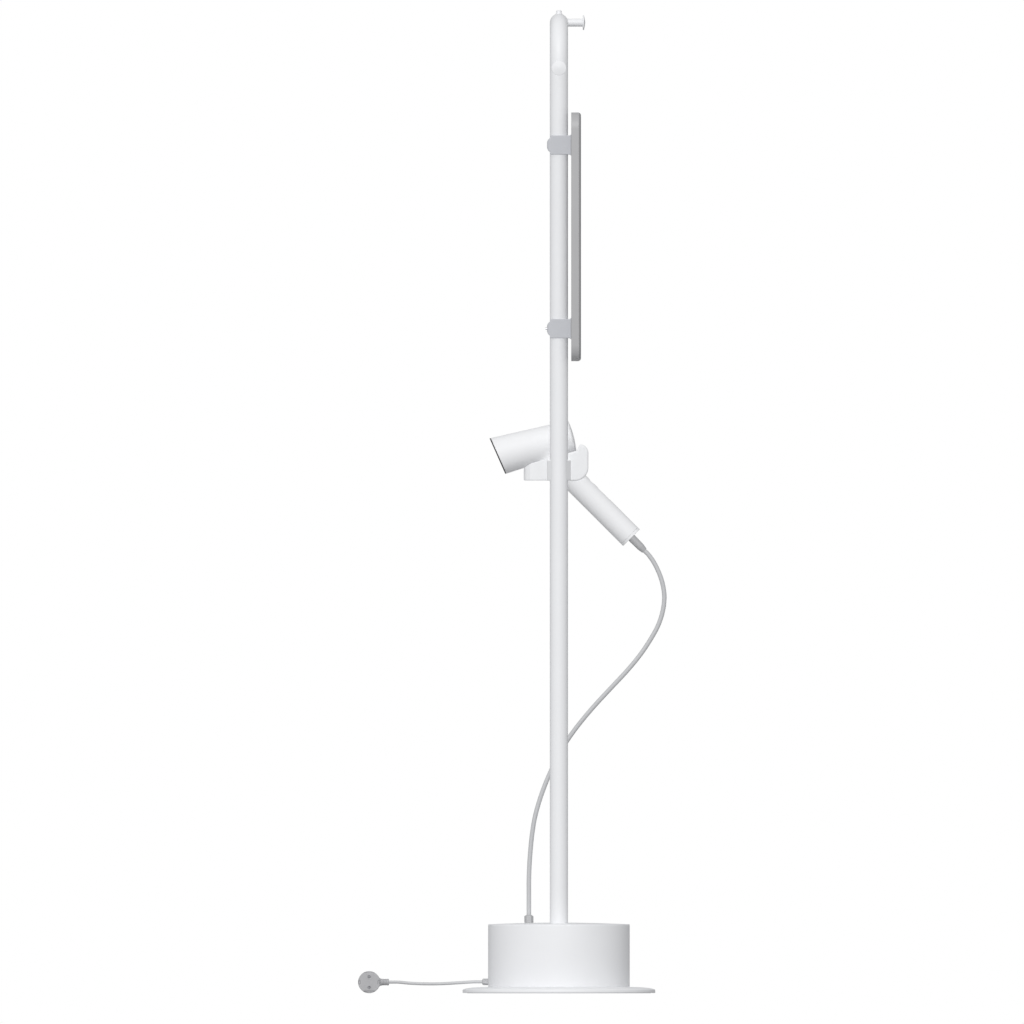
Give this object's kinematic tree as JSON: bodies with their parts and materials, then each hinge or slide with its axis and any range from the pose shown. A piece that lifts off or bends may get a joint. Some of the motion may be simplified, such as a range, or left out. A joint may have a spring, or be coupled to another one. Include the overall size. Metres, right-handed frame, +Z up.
{
  "type": "hair dryer station",
  "caption": "Free-standing hairpin tube stand with a mirror, coat pegs and a hair dryer resting in a fork cradle, wired through a weighted drum base.",
  "frame": {"origin": "centre of the underside of the floor pad, on the floor", "axes": "+Z up, +X towards the user who faces the mirror, +Y to the user's right"},
  "size_m": [0.5445, 0.34, 1.735],
  "materials": {
    "white_paint": "satin powder coat",
    "white_plastic": "satin moulded plastic",
    "cradle_white": "satin moulded plastic",
    "clip_grey": "matt moulded plastic",
    "tray_grey": "matt grey paint",
    "mirror_glass": "polished silvered glass",
    "backing_board": "foam board",
    "cord_grey": "matt cable sheath",
    "gland_grey": "matt moulded plastic",
    "plug_grey": "matt moulded vinyl",
    "pin_nickel": "nickel plated",
    "black_rubber": "matt",
    "black_plastic": "matt heat resistant plastic",
    "zinc_steel": "zinc plated",
    "cast_iron": "bare cast iron",
    "terminal_cream": "moulded",
    "motor_steel": "drawn steel can",
    "mica": "mica sheet",
    "heater_wire": "resistance wire",
    "board_green": "circuit board",
    "control_grey": "satin moulded plastic",
    "intake_white": "satin moulded plastic"
  },
  "bodies": {
    "stand": {"floor_pad": "black_rubber", "base_plate": "white_paint", "base_bolts": "zinc_steel", "ballast_weight": "cast_iron", "drum_shell": "white_paint", "drum_screws": "zinc_steel", "drum_lid": "white_paint", "lid_screws": "zinc_steel", "leg_socket_left": "zinc_steel", "leg_socket_right": "zinc_steel", "socket_bolts": "zinc_steel", "socket_grub_screws": "zinc_steel", "terminal_block": "terminal_cream", "inner_dryer_lead": "cord_grey", "inner_mains_lead": "cord_grey", "cord_gland": "gland_grey", "cord_gland_nut": "gland_grey", "mains_gland": "gland_grey", "mains_gland_nut": "gland_grey", "frame_tube": "white_paint", "crown_button": "white_paint", "front_peg": "white_paint", "side_peg_left": "white_paint", "side_peg_right": "white_paint", "cradle": "cradle_white", "cradle_grub_screws": "zinc_steel", "dryer_cord": "cord_grey", "mains_lead": "cord_grey", "plug_body": "plug_grey", "plug_pins": "pin_nickel", "plug_earth_strips": "zinc_steel"},
    "mirror": {"mirror_tray": "tray_grey", "mirror_backing": "backing_board", "mirror_glass": "mirror_glass", "clip_upper_left": "clip_grey", "clip_upper_right": "clip_grey", "clip_lower_left": "clip_grey", "clip_lower_right": "clip_grey", "clip_screws": "zinc_steel", "clip_lock_screws": "zinc_steel"},
    "dryer": {"dryer_shell_left": "white_plastic", "dryer_shell_right": "white_plastic", "shell_screws": "zinc_steel", "outlet_ring": "black_plastic", "outlet_grille": "black_plastic", "intake_grille": "intake_white", "fan_duct": "black_plastic", "motor": "motor_steel", "heater_sleeve": "mica", "heater_frame": "mica", "heater_coils": "heater_wire", "switch_board": "board_green", "handle_end_cap": "white_plastic", "strain_relief": "gland_grey", "handle_lead": "cord_grey"},
    "rotor": {"fan": "black_plastic", "motor_shaft": "zinc_steel"},
    "switch": {"switch_slider": "control_grey"},
    "button": {"cool_button": "control_grey"}
  },
  "joints": [
    {"name": "mirror_slide", "type": "slide", "parent": "stand", "child": "mirror", "axis": [0, 0, 1], "range_m": [-0.08, 0.08]},
    {"name": "dryer_lift", "type": "slide", "parent": "stand", "child": "dryer", "axis": [-0.7071, 0, 0.7071], "range_m": [0, 0.1]},
    {"name": "fan_spin", "type": "hinge", "parent": "dryer", "child": "rotor", "pos_m": [-0.00003, 0, 0.97753], "axis": [0.9641, 0, 0.2656], "continuous": true},
    {"name": "switch_slide", "type": "slide", "parent": "dryer", "child": "switch", "axis": [-0.7071, 0, 0.7071], "range_m": [0, 0.008]},
    {"name": "button_press", "type": "slide", "parent": "dryer", "child": "button", "axis": [-0.7071, 0, -0.7071], "range_m": [0, 0.0015], "stiffness_N_per_m": 400, "springref_m": -0.001}
  ]
}
